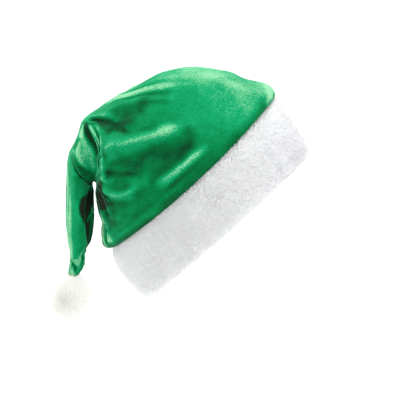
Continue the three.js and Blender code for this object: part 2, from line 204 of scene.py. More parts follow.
# The broad folds: start, middle and end as (section, degrees); width and height, each one number or
# two for the start and the end; and how sharply the edge falls off
FOLDS = (
    ((12.8, 7), (10.8, 30), (8.6, 36), (0.5, 0.75), (0.16, 0.3), 1.6),
    ((12.7, 48), (10.8, 66), (9.2, 64), (0.7, 0.9), (-0.55, -0.4), 2),
    ((14.3, 30), (12.2, 64), (9.8, 87), (0.34, 0.5), (-0.42, -0.3), 1.6),
    ((12, 101), (9.1, 93.5), (7.6, 68), (0.55, 0.7), (0.55, 0.5), 1.8),
    ((10.4, 121), (8.5, 104), (6.8, 76), (0.4, 1), (-0.4, -0.48), 2),
    ((6.9, 110), (6.5, 94), (6.4, 74), (0.5, 0.6), (0.5, 0.33), 1.6),
    ((10, 139), (7.95, 130), (7.45, 113), (0.34, 0.36), (0.45, 0.5), 1.6),
    ((10.2, 129), (8.9, 120), (7.3, 104), (0.42, 0.6), (-0.5, -0.35), 2),
    ((10.4, 148), (8.6, 152), (7, 158), (0.5, 0.67), (-0.5, -0.45), 2),
    ((7.4, 176), (6.4, 180), (5.3, 186), (0.67, 0.75), (0.38, 0.45), 2),
    ((8, 165), (6.4, 164), (5.2, 167), 0.25, -0.28, 1.6),
    ((23, 178), (24.7, 146), (27.8, 168), (0.56, 0.5), (-1, -0.6), 2.4),
    ((21.2, 100), (24.4, 92), (27.2, 108), (0.6, 0.5), (0.12, 0.1), 2),
    ((21, 34), (23.5, 44), (26.5, 34), (0.5, 0.42), (-0.12, -0.1), 2),
    ((12.5, -48), (10, -70), (7.4, -86), (0.75, 1), (-0.67, -0.45), 2),
    ((12.2, -84), (9.6, -102), (7.2, -112), (0.75, 0.92), (0.55, 0.45), 1.8),
    ((11, -122), (8.9, -118), (6.8, -100), (0.67, 0.92), (-0.78, -0.5), 2),
    ((11.2, -26), (9.2, -36), (7.2, -48), (0.67, 0.75), (0.33, 0.28), 1.8),
    ((10.2, -142), (8, -140), (6.6, -126), (0.5, 0.58), (0.45, 0.38), 1.7),
    ((20.6, -110), (23.5, -90), (27, -100), (0.5, 0.42), (-0.45, -0.33), 2),
)

# Finer creases, in the same columns: the fold over the notch, the pinch below it, the crests of the
# broad folds, the wrinkles along the top, those near the band, the tail, and the far side
CREASES = (
    ((14.5, 27), (13.3, 42), (11.6, 70), (0.2, 0.26), (-0.34, -0.3), 1.8),
    ((12.4, 58), (10.9, 80), (9.3, 88), (0.24, 0.34), (-0.28, -0.18), 1.8),
    ((14.3, 20), (13.2, 38), (12.2, 54), (0.12, 0.18), (0.12, 0.04), 1.5),
    ((14.55, 30), (14.35, 60), (13.6, 98), 0.08, 0.12, 1.5),
    ((15.3, 32), (15.6, 60), (15.3, 104), 0.46, -0.56, 3),
    ((16.9, 38), (17.95, 78), (17.2, 122), 0.16, (0.12, 0.1), 1.6),
    ((19.4, 48), (18.7, 88), (17.5, 138), 0.36, -0.15, 2),

    ((12.2, 102), (12.1, 118), (10.9, 136), (0.12, 0.14), (-0.36, -0.4), 1.5),
    ((11.5, 109), (10.8, 118), (10.1, 129), 0.26, (0.22, 0.2), 1.6),
    ((10.2, 131), (9.7, 130.5), (9, 129), (0.12, 0.14), (0.16, 0.12), 1.5),
    ((9.2, 139), (7.9, 129), (7.45, 114), (0.14, 0.16), (0.18, 0.2), 1.5),
    ((10.4, 143), (9.1, 139), (8, 139), (0.14, 0.18), (-0.36, -0.26), 1.5),

    ((10, 100), (8.7, 90), (7.8, 72), (0.18, 0.22), (0.14, 0.18), 1.5),
    ((6.8, 106), (6.5, 93), (6.4, 80), 0.16, (0.16, 0.14), 1.5),

    ((12.6, 16), (10.7, 39), (8.9, 41), (0.14, 0.2), (0.3, 0.22), 1.5),
    ((11.6, 38), (10.1, 48), (8.7, 53), (0.2, 0.34), -0.22, 1.6),
    ((11.6, 14), (10.6, 19), (9.8, 22), (0.16, 0.2), (0.14, 0.1), 1.5),
    ((11.8, 21), (10.9, 26), (10.1, 30), (0.12, 0.16), (-0.14, -0.1), 1.5),
    ((11.2, 8), (10.2, 12), (9.2, 14), (0.2, 0.26), (-0.12, -0.08), 1.6),

    ((8.2, 150), (7.2, 146), (6.4, 134), (0.28, 0.38), (0.16, 0.1), 1.5),
    ((7, 156), (6, 155), (5.3, 161), (0.12, 0.14), (0.3, 0.24), 1.5),
    ((6.6, 176), (5.9, 182), (5.2, 190), (0.16, 0.2), (-0.24, -0.18), 1.5),

    ((24.8, 184), (25.2, 164), (25.5, 144), 0.08, (0.16, 0.12), 1.5),
    ((28, 36), (28.6, 80), (29.4, 124), 0.15, (0.3, 0.24), 1.6),
    ((28.5, 30), (29.1, 74), (29.8, 116), 0.16, (-0.34, -0.26), 1.6),
    ((27.6, 178), (28.2, 158), (29, 142), 0.14, (0.28, 0.22), 1.6),
    ((28.1, 184), (28.7, 166), (29.4, 152), 0.15, (-0.32, -0.26), 1.6),

    ((13.4, -70), (12, -84), (10.4, -92), (0.25, 0.35), (-0.18, -0.12), 1.5),
    ((9.4, -64), (8.2, -60), (6.8, -52), (0.3, 0.45), (0.12, 0.1), 1.6),
    ((8.6, -124), (7.8, -112), (7.4, -96), (0.25, 0.35), (0.16, 0.12), 1.5),
    ((14.6, -34), (14.4, -66), (13.4, -96), (0.16, 0.18), 0.26, 1.5),
    ((15.1, -36), (15.3, -68), (14.8, -100), (0.18, 0.24), (-0.4, -0.42), 1.6),
    ((12.4, -104), (11.6, -122), (10.4, -140), (0.16, 0.2), -0.3, 1.5),
    ((10.8, -126), (9.4, -120), (8.2, -104), (0.22, 0.3), (0.18, 0.14), 1.5),
    ((7, -118), (6.4, -96), (6.4, -74), (0.22, 0.26), (0.18, 0.14), 1.5),
    ((18.6, -60), (18.8, -92), (17.7, -136), (0.2, 0.18), (-0.26, -0.22), 1.5),
)

# Painted highlights (above 0) and painted shade (below 0) on the velvet, in the same columns, with
# tones for heights: mostly the crown's painted highlights, mostly its painted shade, then the tail's
PAINTED_STROKES = (
    ((12.6, 18), (10.5, 42), (8.7, 42), (0.2, 0.3), (0.4, 0.36), 2),
    ((12.7, 18), (11.9, 29), (10.8, 41), 0.12, 0.3, 2),
    ((13.2, 14), (11.6, 19), (9.8, 10), (0.26, 0.4), (0.3, 0.36), 2),
    ((15, 24), (16.2, 33), (17.3, 40), 0.3, (0.48, 0.44), 2),
    ((10.4, 115), (8.8, 97), (7.2, 59), (0.62, 0.42), (0.2, 0.21), 2),
    ((5.8, 30), (6.6, 50), (8.6, 46), 1.7, (0.16, 0.13), 2),
    ((8.8, 20), (7.6, 29), (6.5, 26), (1.1, 0.8), (0.15, 0.13), 2),
    ((5.6, -6), (5.5, 8), (5.4, 26), (0.5, 0.3), (0.3, 0.16), 2),
    ((5.5, 2), (5.2, 12), (4.9, 24), (0.6, 0.3), (0.55, 0.5), 2),
    ((5, 16), (4.75, 24), (4.5, 33), (0.44, 0.3), (0.66, 0.36), 2),
    ((8.4, 173), (6.5, 161), (4.6, 150), 0.5, 0.5, 2),
    ((8.2, 176), (6.2, 174), (4.4, 167), 0.46, (1, 0.9), 2),
    ((9.3, 166), (8.2, 166), (7.2, 171), (0.16, 0.2), 0.45, 2),
    ((5.3, 160), (5.1, 133), (4.7, 104), 0.28, (0.24, 0.2), 2),
    ((6.4, 110), (6.3, 92), (6.25, 72), (0.28, 0.26), (0.28, 0.26), 2),
    ((9.4, 147), (7.9, 133), (6.8, 117), (0.28, 0.34), (0.34, 0.3), 2),
    ((7.4, 144), (6.9, 133), (6.4, 120), 0.5, (0.16, 0.12), 2),
    ((15.4, 12), (17.25, 62), (17, 124), (0.4, 0.46), 0.16, 3),
    ((16.4, 66), (16.3, 100), (16.3, 134), (0.3, 0.4), (0.12, 0.22), 2),
    ((13.5, 66), (12.7, 88), (11.8, 106), (0.2, 0.24), (0.14, 0.2), 2),
    ((14.45, 40), (14.35, 64), (13.5, 100), 0.06, 0.2, 2),
    ((14, 42), (13.65, 66), (14.1, 94), 0.13, 0.24, 2),
    ((11.4, 103), (10.6, 107), (9.6, 112), (0.4, 0.5), (0.14, 0.12), 2),

    ((13.7, 38), (12.5, 65), (11, 88), (0.32, 0.4), (-0.44, -0.4), 2.4),
    ((15, 16), (14.6, 34), (13.8, 46), 0.16, -0.3, 2),
    ((11.9, 64), (10.7, 75), (9.4, 77), (0.56, 0.6), (-0.46, -0.34), 2),
    ((12, 84), (10.6, 74), (9.3, 68), (0.8, 0.9), (-0.1, -0.12), 2),
    ((12.9, 40), (10.8, 56), (9.2, 63), 0.46, (-0.22, -0.2), 2),
    ((10.6, 51), (9.7, 54), (8.8, 55), (0.26, 0.3), (-0.18, -0.22), 2),
    ((10.5, 55), (9.5, 60), (8.6, 61), 0.3, -0.18, 2),
    ((15.3, 28), (15.65, 62), (15.3, 112), (0.52, 0.48), -0.62, 4),
    ((14.6, 104), (14.6, 118), (12, 136), 0.09, -0.4, 2),
    ((19.5, 56), (18.7, 98), (17.3, 144), 0.44, -0.22, 4),
    ((17.3, 36), (17.9, 46), (18.6, 56), 0.26, -0.26, 3),
    ((9.4, 122), (7.5, 99), (6.85, 72), (0.5, 0.8), (-0.1, -0.22), 3),
    ((9.1, 117), (8.45, 109), (8, 101), (0.4, 0.44), -0.18, 2),
    ((7.4, 110), (7, 100), (6.9, 92), 0.44, (-0.18, -0.2), 2),
    ((7.9, 69), (7.2, 77), (6.7, 84), (0.5, 0.44), (-0.24, -0.18), 2),
    ((9, 128), (8.5, 124), (8, 117), 0.28, -0.12, 2),
    ((9, 117), (8.55, 113), (8.1, 109), 0.26, (0.22, 0.18), 2),
    ((10.2, 128), (9.8, 127), (9.4, 124), 0.22, (0.16, 0.14), 2),
    ((10.4, 104), (9.7, 102), (9, 99), 0.4, 0.1, 2),
    ((9.1, 147), (8.35, 143), (7.6, 136), 0.32, (-0.46, -0.4), 2),
    ((12, 168), (10.6, 158), (9.2, 160), 0.4, -0.6, 2),
    ((9.2, 144), (8.6, 143), (8, 139.5), 0.08, (0.7, 0.6), 2),
    ((10.5, 135), (9.8, 132), (9.1, 129.5), 0.1, (0.26, 0.24), 2),
    ((11.6, 139), (10.4, 140), (9.2, 144), 0.34, (-0.5, -0.46), 2.4),
    ((6.1, 104), (5.65, 88), (5.5, 62), (0.24, 0.4), -0.16, 2),
    ((6.4, 132), (5.9, 120), (5.6, 104), (0.5, 0.4), (-0.12, -0.1), 2),

    ((21.6, 28), (25.4, 45), (29.4, 40), (0.34, 0.28), (0.34, 0.3), 2),
    ((20.5, 26), (25, 29), (28.8, 30), 0.16, (0.44, 0.4), 2),
    ((23.8, 44), (25.2, 50), (26.4, 56), 0.34, 0.16, 2),
    ((24.3, 184), (25.1, 166), (26, 160), 0.14, (0.8, 0.7), 2),
    ((25, 174), (26.1, 168), (27.4, 172), (0.34, 0.3), (0.34, 0.3), 2),
    ((21, 122), (22.1, 138), (23, 158), (0.34, 0.3), 0.22, 2),
    ((28.9, 94), (28.2, 122), (27.4, 150), 0.24, 0.34, 2),
    ((29.6, 40), (29.8, 80), (29.9, 120), 0.3, 0.2, 2),
    ((21.2, 92), (23, 92), (24.8, 86), (0.4, 0.34), (-0.2, -0.18), 2),
    ((25.4, 100), (26.3, 102), (27.2, 104), 0.3, -0.1, 2),
    ((27.4, 150), (27.9, 142), (28.3, 132), 0.16, 0.3, 2),
)

# The band's backing: out in shares of its thickness, rise in shares of the band's height
BAND_BACKING = (
    (0.06, 0.070), (0.00, 0.110), (0.00, 0.300), (0.00, 0.550), (0.00, 0.800), (0.00, 0.930),
    (0.10, 0.955), (0.26, 0.960), (0.40, 0.930), (0.48, 0.860), (0.50, 0.700), (0.50, 0.500),
    (0.50, 0.320), (0.46, 0.170), (0.36, 0.090), (0.20, 0.060),
)
HEM_ROWS = 5

# Numbers of the meshes, the tones and the lights

CROWN_GRID = (290, 300, 36)
BAND_SIDES = 240
# The arcs of the band's pile, a quarter of the round each, where the first starts, and their sides
ARCS = ("near_front", "near_back", "far_back", "far_front")
ARC_START, ARC_SPAN, ARC_SIDES = -8, 90, 60
# The shortest and the longest strand as shares of the pile's length
STRAND_LENGTHS = (0.72, 1.08)

# How the rows are shared out among the sections, and how the sides crowd round the near side
ROW_SHARES, ROW_SECTIONS = (0, 0.04, 0.44, 0.74, 1), (0, HEM_ROWS, 13, 20)
CROWDING, CROWDED_AT = 0.3, 0.294

# Rumples of the cloth: size, seed and height
RUMPLES = ((0.024, 3, 0.0011), (0.009, 11, 0.0004))

# How a bend of the cloth is measured: rounds of smoothing, limit, rounds of blur, gain
CRISP_BEND = (1, 900, 2, 0.0045)
BROAD_BEND = (5, 300, 9, 0.012)
# What paints the velvet's highlights and shade, and by how much; rest is the plain cloth's tone
TONES = {"rest": 0.34, "ridge": 0.27, "valley": -0.26, "broad": 0.16, "lit": 0.20, "top": 0.26,
         "panel": 0.24, "tail": 0.20}
# Where most of the light on the hat comes from; faces turned to it get a painted highlight
LIGHT_FROM = (-0.10, -0.35, 0.93)
# Sections at the middle of the panel under the fold-over and at the start of the hanging tail
PANEL_AT, TAIL_FROM = 16.7, 19.6
# Starts and widths of fades: sections above the band, normals that face up and get a painted highlight,
# sections of the top
ABOVE_BAND, FACING_UP, TOP_ENDS = (5.2, 0.9), (0.60, 0.38), (10.6, -1.4)
# Degrees round from the front, past the back, by which the shade of the near side has ended
FAR_SIDE = 204
# Where the tail faces the crown: sections, and the degrees from the front beyond which it gets painted
# shade
TAIL_SHADE = ((22.8, 23.5, 24.1, 24.7, 25.2, 25.8, 26.6, 27.6), (178, 130, 99, 90, 93, 113, 127, 185))
# The same where the crown's back faces the tail
BACK_SHADE = ((8.0, 8.7, 9.7, 10.4, 11.2), (143, 136, 131, 132, 142))
BACK_SHADE_ENDS = (11.7, -0.8)
# How much a shaded place is deeper, and the deepest tone of any other
SHADE_DEPTH, LOWEST_TONE = 0.66, 0.12

# The velvet's colours from painted shadow to brightest painted highlight: where each is full on a scale of
# tones
VELVET_STOPS = (0.0, 0.10, 0.42, 0.70, 1.0)
# How much patches and grain change the velvet's tone; grain is stronger where the painted light is paler
PATCH_SHARE, GRAIN_BY_PAINTED_LIGHT, GRAIN_AT_LEAST = 0.36, 0.62, 0.14

# Painted shade on the plush: how many metres to the front it begins, and how fast it deepens
SHADE_FROM, SHADE_RISE = 0.022, 9.0

# What the camera and the lights look at
PICTURE_MIDDLE = Vector((-0.029, 0.0, 0.026))
# The lights' names, places and sizes
LIGHTS = (
    ("overhead", (-0.25, -0.25, 1.15), 0.9),
    ("front", (0.35, -1.4, 0.55), 1.0),
    ("behind", (-0.3, 0.95, 0.55), 0.8),
)


def rim_axes(sizes):
    """Unit vectors to the front along the opening and up out of it."""
    cos, sin = math.cos(sizes.rim_tilt), math.sin(sizes.rim_tilt)
    return np.array((cos, 0.0, sin)), np.array((-sin, 0.0, cos))


def rim_point(sizes, angle, out, rise):
    """Points of the band: out from its inner wall, rise above its lower edge."""
    forward, up = rim_axes(sizes)
    half_length, half_width = sizes.rim_length / 2, sizes.rim_width / 2
    cos, sin = np.cos(angle), np.sin(angle)
    normal = np.stack((cos / half_length, sin / half_width))
    normal = normal / np.hypot(*normal)
    share = rise / sizes.band_height
    along = half_length * cos + out * normal[0] + sizes.band_lean * share
    across = half_width * sin + out * normal[1]
    drop = sizes.band_dip * sin ** 2 + sizes.band_drop * (0.5 + 0.5 * cos) ** 2
    height = rise + (sizes.band_skew * cos - drop) * share
    points = along[..., None] * forward + height[..., None] * up
    points[..., 1] -= across
    return points


def section_points(front, back, width, bows, angle, egg=0.0):
    """An oval between its front and back ends, with its flanks bowed along the crown."""
    cos, sin = np.cos(angle), np.sin(angle)
    half = (front - back) / 2
    points = (front + back) / 2 + half * cos[:, None]
    points[:, 1] -= width * sin * (1 + egg * cos)
    ahead = half / np.linalg.norm(half)
    bow = np.where(sin > 0, *bows) * sin ** 2
    return points + np.array((-ahead[2], 0.0, ahead[0])) * bow[:, None]


def key_rings(sizes, angle):
    """The rings of points that the cloth passes through, from the hem to the tail's tip."""
    forward, up = rim_axes(sizes)
    top, gap, thick = sizes.band_height, sizes.seam_gap, sizes.band_thickness
    reach, half_width = sizes.rim_length / 2 + thick, sizes.rim_width / 2
    over = ((-gap, top - sizes.hem_depth), (-gap, top - sizes.hem_depth / 2), (-gap, top - 5 * gap),
            (thick / 4, top + gap), (thick * 0.75, top + 3 * gap))
    rings = [rim_point(sizes, angle, out, rise) for out, rise in over]

    def crown_end(place):
        return place[0] * reach * forward + (top + place[1] * sizes.crown_rise) * up

    notch = crown_end(NOTCH)

    def tail_end(place):
        return notch + np.array((place[0] * sizes.tail_width, 0.0, place[1] * sizes.tail_drop))

    for end, sections in ((crown_end, CROWN_SECTIONS), (tail_end, TAIL_SECTIONS)):
        for front, back, width, near, far, *egg in sections:
            rings.append(section_points(end(front), end(back), width * half_width,
                                        (near * reach, far * reach), angle, *egg))
    return np.array(rings)


def through_rings(rings, station):
    """A smooth line through the rings, at one place on it for each of the stations."""
    last = len(rings) - 1
    first = np.clip(np.floor(station).astype(int), 0, last - 1)
    part = (station - first)[:, None, None]
    before = np.where((first > 0)[:, None, None], rings[np.maximum(first - 1, 0)],
                      2 * rings[first] - rings[first + 1])
    after = np.where((first < last - 1)[:, None, None], rings[np.minimum(first + 2, last)],
                     2 * rings[first + 1] - rings[first])
    start, end = rings[first], rings[first + 1]
    leave, arrive = (end - before) / 2, (after - start) / 2
    return (start * (2 * part ** 3 - 3 * part ** 2 + 1) + leave * (part ** 3 - 2 * part ** 2 + part)
            + end * (3 * part ** 2 - 2 * part ** 3) + arrive * (part ** 3 - part ** 2))


def grid_normals(grid):
    """Outward unit normals of a grid whose first axis runs down the hat and second round it."""
    down = np.gradient(grid, axis=0)
    round_it = (np.roll(grid, -1, 1) - np.roll(grid, 1, 1)) / 2
    normal = np.cross(down, round_it)
    return normal / (np.linalg.norm(normal, axis=-1, keepdims=True) + 1e-12)


def fold_line(sizes, start, middle, end, steps=24):
    """A fold's line as points on the smooth cloth, through three places."""
    share = np.linspace(0, 1, steps + 1)[:, None]
    start, middle, end = (np.array(place, float) for place in (start, middle, end))
    handle = 2 * middle - (start + end) / 2
    places = (1 - share) ** 2 * start + 2 * share * (1 - share) * handle + share ** 2 * end
    rings = key_rings(sizes, np.radians(places[:, 1]))
    return np.array([through_rings(rings[:, k:k + 1], places[k:k + 1, 0])[0, 0]
                     for k in range(steps + 1)])


def fold_amount(sizes, fold, points):
    """A fold's height, or a painted stroke's tone of light or shade, at each point: full on its line,
    fading at its ends.
    """
    start, middle, end, width, height, edge = fold
    width, height = np.ones(2) * width, np.ones(2) * height
    line = fold_line(sizes, start, middle, end)
    reach = 2.6 * max(width) * sizes.fold_width
    near = ((points > line.min(0) - reach) & (points < line.max(0) + reach)).all(-1)
    close = points[near]
    best = np.full(len(close), np.inf)
    share = np.zeros(len(close))
    for index, (a, b) in enumerate(zip(line[:-1], line[1:])):
        along = b - a
        part = np.clip((close - a) @ along / (along @ along), 0, 1)
        distance = np.linalg.norm(close - a - part[:, None] * along, axis=1)
        nearer = distance < best
        best[nearer] = distance[nearer]
        share[nearer] = ((index + part) / (len(line) - 1))[nearer]
    wide = (width[0] + (width[1] - width[0]) * share) * sizes.fold_width
    high = height[0] + (height[1] - height[0]) * share
    fade = np.clip(np.minimum(share, 1 - share) / 0.26, 0, 1)
    amount = np.zeros(points.shape[:-1])
    amount[near] = high * fade ** 2 * (3 - 2 * fade) * np.exp(-(best / wide) ** edge)
    return amount


def fade_in(value, start, width):
    """Rises from 0 at the start to 1 a width further on; a width below 0 points the other way."""
    return np.clip((value - start) / width, 0, 1)


def ripples(points, size, seed):
    """A soft noise of about one unit at each point, the same on each run."""
    offset = Vector((seed, seed * 2.0, seed * 3.0))
    flat = points.reshape(-1, 3) / size
    values = [noise.noise(Vector(place) + offset) for place in flat]
    return np.array(values).reshape(points.shape[:-1])


def cloth_grid(sizes, rows, sides):
    """The folded cloth as a grid of points from the hem to the tail's tip, its painted light and shade,
    and how far each point stands above the lowest place around it."""
    # Sides stand closer together on the near side, where the folds are, and rows by the notch.
    turn = np.linspace(0, 1, sides, endpoint=False)
    shift = CROWDING / (2 * math.pi) * (np.sin((turn - CROWDED_AT) * 2 * math.pi)
                                        - math.sin(-CROWDED_AT * 2 * math.pi))
    angle = sizes.seam_angle + (turn + shift) * 2 * math.pi
    rings = key_rings(sizes, angle)
    station = np.interp(np.linspace(0, 1, rows), ROW_SHARES, (*ROW_SECTIONS, len(rings) - 1))
    grid = through_rings(rings, station)
    lift = sum(fold_amount(sizes, fold, grid) for fold in FOLDS + CREASES) * sizes.fold_depth
    # laid holds the painted strokes of light and shade, summed at each point
    laid = sum(fold_amount(sizes, patch, grid) for patch in PAINTED_STROKES)
    free = fade_in(station, HEM_ROWS, 2)[:, None]
    rumple = sum(ripples(grid, size, seed) * height for size, seed, height in RUMPLES)
    lift = lift + rumple * free
    lift -= seam_dip(sizes, grid, station, angle)
    low = lift
    for _ in range(5):
        for axis in (0, 1):
            low = np.minimum(low, np.minimum(np.roll(low, 1, axis), np.roll(low, -1, axis)))
    grid = grid + grid_normals(grid) * lift[..., None]
    return grid, paint_light_and_shade(grid, station, angle, laid), lift - low


def seam_dip(sizes, grid, station, angle):
    """The back seam pulls the cloth in along a narrow line, with small puckers beside it."""
    turn = (angle - sizes.seam_angle + math.pi) % (2 * math.pi) - math.pi
    girth = np.linalg.norm(np.roll(grid, -1, 1) - grid, axis=-1).sum(1)
    distance = np.abs(turn)[None, :] * girth[:, None] / (2 * math.pi)
    length = np.cumsum(np.r_[0, np.linalg.norm(np.diff(grid[:, 0], axis=0), axis=1)])
    pitch, depth, pucker_depth, pucker_place, pucker_width = 0.0062, 0.0011, 0.0006, 0.0035, 0.0025
    pucker = 0.5 + 0.5 * np.sin(length / pitch * 2 * math.pi)[:, None]
    free = fade_in(station, HEM_ROWS, 1)[:, None]
    line = depth * np.exp(-(distance / depth) ** 2)
    beside = pucker_depth * pucker * np.exp(-((distance - pucker_place) / pucker_width) ** 2)
    return (line + beside) * free


def eased(values, rounds):
    """The same grid of values, smoothed along both directions."""
    for _ in range(rounds):
        values = (values + np.roll(values, 1, 1) + np.roll(values, -1, 1)) / 3
        ends = np.concatenate((values[:1], values, values[-1:]))
        values = (ends[:-2] + ends[1:-1] + ends[2:]) / 3
    return values


def bulge(grid, normal):
    """How much the cloth bulges at each point, as one over the radius in metres."""
    total = np.zeros(grid.shape[:2])
    for axis in (0, 1):
        if axis:
            step = (np.roll(grid, -1, 1) - np.roll(grid, 1, 1)) / 2
            change = (np.roll(normal, -1, 1) - np.roll(normal, 1, 1)) / 2
        else:
            step, change = np.gradient(grid, axis=0), np.gradient(normal, axis=0)
        total += (step * change).sum(-1) / ((step ** 2).sum(-1) + 1e-9)
    return total


def bend(grid, normal, rounds, limit, blur, gain):
    """How the cloth bends at each point, from -1 in a valley to 1 on a ridge."""
    return np.tanh(eased(np.clip(bulge(grid, eased(normal, rounds)), -limit, limit), blur) * gain)


def paint_light_and_shade(grid, station, angle, laid):
    """Painted light and shade on the velvet, from painted shade (0) to painted highlight (1)."""
    normal = grid_normals(grid)
    crisp, broad = bend(grid, normal, *CRISP_BEND), bend(grid, normal, *BROAD_BEND)
    even = eased(normal, 3)
    along, height = even[..., 0], even[..., 2]
    station = station[:, None]
    turned = np.degrees(angle % (2 * math.pi))[None, :]
    side = np.minimum(turned, 360 - turned)
    free = fade_in(station, *ABOVE_BAND)
    panel = np.exp(-(station - PANEL_AT) ** 2)
    tail = fade_in(station, TAIL_FROM, 1)
    calm = 1 - 0.8 * panel
    # Painted highlights on the ridges and painted shade in the valleys, from the cloth's bends
    ridge = np.clip(crisp, 0, 1) ** 1.5 * free * calm * np.clip(1 + 4 * laid, 0, 1)
    valley = np.clip(-crisp, 0, 1) * free * calm
    # A painted highlight on the faces turned up towards the light
    top = fade_in(height, *FACING_UP) * fade_in(station, *TOP_ENDS)
    # Painted shade where the tail and the crown face each other on the near side.
    shade = fade_in(side, np.interp(station, *TAIL_SHADE), 9) * tail
    back_start = 7.7 + np.clip((side - 142) / 40, 0, 0.6)
    shade += (fade_in(side, np.interp(station, *BACK_SHADE), 5)
              * fade_in(station, back_start, 0.3) * fade_in(station, *BACK_SHADE_ENDS))
    shade *= fade_in(turned, FAR_SIDE, -18)
    # Painted light and shade: strokes, bends, faces turned to the light, upturned faces, the panel and the
    # tail's outer side
    tone = (laid + TONES["rest"] + TONES["ridge"] * ridge + TONES["valley"] * valley
            + TONES["broad"] * broad * free * calm + TONES["lit"] * (even @ np.array(LIGHT_FROM))
            + TONES["top"] * top + TONES["panel"] * panel
            + TONES["tail"] * fade_in(along, -0.3, -1) * tail)
    return np.maximum(tone, LOWEST_TONE) - SHADE_DEPTH * np.clip(shade, 0, 1)


# Mesh and object helpers

def new_object(name, mesh):
    piece = bpy.data.objects.new(name, mesh)
    bpy.context.scene.collection.objects.link(piece)
    return piece


def grid_faces(rows, sides, start=0, inward=False):
    """Quads between the rings of a grid that closes on itself round the hat."""
    row, side = np.meshgrid(np.arange(rows - 1), np.arange(sides), indexing="ij")
    after = (side + 1) % sides
    quads = np.stack((row * sides + side, (row + 1) * sides + side,
                      (row + 1) * sides + after, row * sides + after), -1).reshape(-1, 4) + start
    return quads[:, ::-1] if inward else quads


def join_rings(first, second, sides):
    """Quads from the ring of points that starts at first to the one that starts at second."""
    side = np.arange(sides)
    after = (side + 1) % sides
    return np.stack((first + side, first + after, second + after, second + side), -1)


def mesh_from(name, points, faces):
    mesh = bpy.data.meshes.new(name)
    mesh.from_pydata(points.tolist(), [], [list(map(int, face)) for face in faces])
    mesh.validate()
    return mesh


def smooth(mesh):
    mesh.polygons.foreach_set("use_smooth", np.ones(len(mesh.polygons), bool))
    mesh.update()


def finish_piece(piece, slot, *replaced):
    """Ties a finished piece to the body and hides the parts that it replaces."""
    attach(piece, ROOT)
    if replaced:
        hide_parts(*replaced)
    return piece


# Node helpers

def set_inputs(tree, node, inputs):
    """Links the inputs that are given another node's output, and sets the others to their values."""
    for key, value in inputs.items():
        if isinstance(value, bpy.types.NodeSocket):
            tree.links.new(value, node.inputs[key])
        else:
            node.inputs[key].default_value = value


def add_node(tree, kind, inputs, **settings):
    """A new node with its settings and inputs, as its outputs."""
    node = tree.nodes.new(kind)
    for name, value in settings.items():
        setattr(node, name, value)
    set_inputs(tree, node, inputs)
    return node.outputs


def node_group(name, kind, inputs, outputs):
    """An empty node group with its named sockets, and the inputs' identifiers by label."""
    tree = bpy.data.node_groups.new(name, kind)
    ids = {}
    for way, items in (("INPUT", inputs), ("OUTPUT", outputs)):
        for label, socket, value in items:
            made = tree.interface.new_socket(name=label, in_out=way, socket_type="NodeSocket" + socket)
            if value is not None:
                made.default_value = value
            ids.setdefault(label, made.identifier)
    return tree, tree.nodes.new("NodeGroupInput").outputs, tree.nodes.new("NodeGroupOutput"), ids


def math_node(tree, operation, first, second, clamp=False):
    return add_node(tree, "ShaderNodeMath", {0: first, 1: second}, operation=operation, use_clamp=clamp)[0]


def noise_node(tree, vector, scale, detail, roughness=0.5):
    return add_node(tree, "ShaderNodeTexNoise", {
        "Vector": vector, "Scale": scale, "Detail": detail, "Roughness": roughness})["Fac"]


def pile_group():
    """Fine pile: a speckle with a height, and slow patches where the pile is laid over."""
    if "pile" in bpy.data.node_groups:
        return bpy.data.node_groups["pile"]
    tree, given, out, _ = node_group(
        "pile", "ShaderNodeTree",
        (("Place", "Vector", None), ("Speckle Scale", "Float", 900.0), ("Patch Scale", "Float", 45.0),
         ("Stretch", "Vector", (1, 1, 1))),
        (("Speckle", "Float", None), ("Patches", "Float", None), ("Height", "Float", None)))
    scaled = add_node(tree, "ShaderNodeVectorMath", {0: given["Place"], 1: given["Stretch"]},
                      operation="MULTIPLY")[0]
    speckle = noise_node(tree, scaled, given["Speckle Scale"], 2.0, 0.6)
    patches = noise_node(tree, scaled, given["Patch Scale"], 3.0, 0.55)
    finer = noise_node(tree, given["Place"], 2600.0, 1.0)
    height = math_node(tree, "ADD", speckle, math_node(tree, "MULTIPLY", finer, 0.5))
    set_inputs(tree, out, {"Speckle": speckle, "Patches": patches, "Height": height})
    return tree


def material(name, pile_inputs):
    """A new material with its node tree, Principled shader, outputs of its pile group, and place."""
    look = bpy.data.materials.new(name)
    look.use_nodes = True
    tree = look.node_tree
    place = add_node(tree, "ShaderNodeTexCoord", {})["Object"]
    pile = add_node(tree, "ShaderNodeGroup", {"Place": place, **pile_inputs}, node_tree=pile_group())
    return look, tree, tree.nodes["Principled BSDF"], pile, place


def ramp(tree, value, stops):
    node = tree.nodes.new("ShaderNodeValToRGB")
    tree.links.new(value, node.inputs["Fac"])
    elements = node.color_ramp.elements
    while len(elements) < len(stops):
        elements.new(0.5)
    for element, (place, colour) in zip(elements, stops):
        element.position = place
        element.color = (*colour, 1.0)
    return node.outputs["Color"]


def bump(tree, height, strength, distance):
    return add_node(tree, "ShaderNodeBump", {
        "Height": height, "Strength": strength, "Distance": distance})["Normal"]


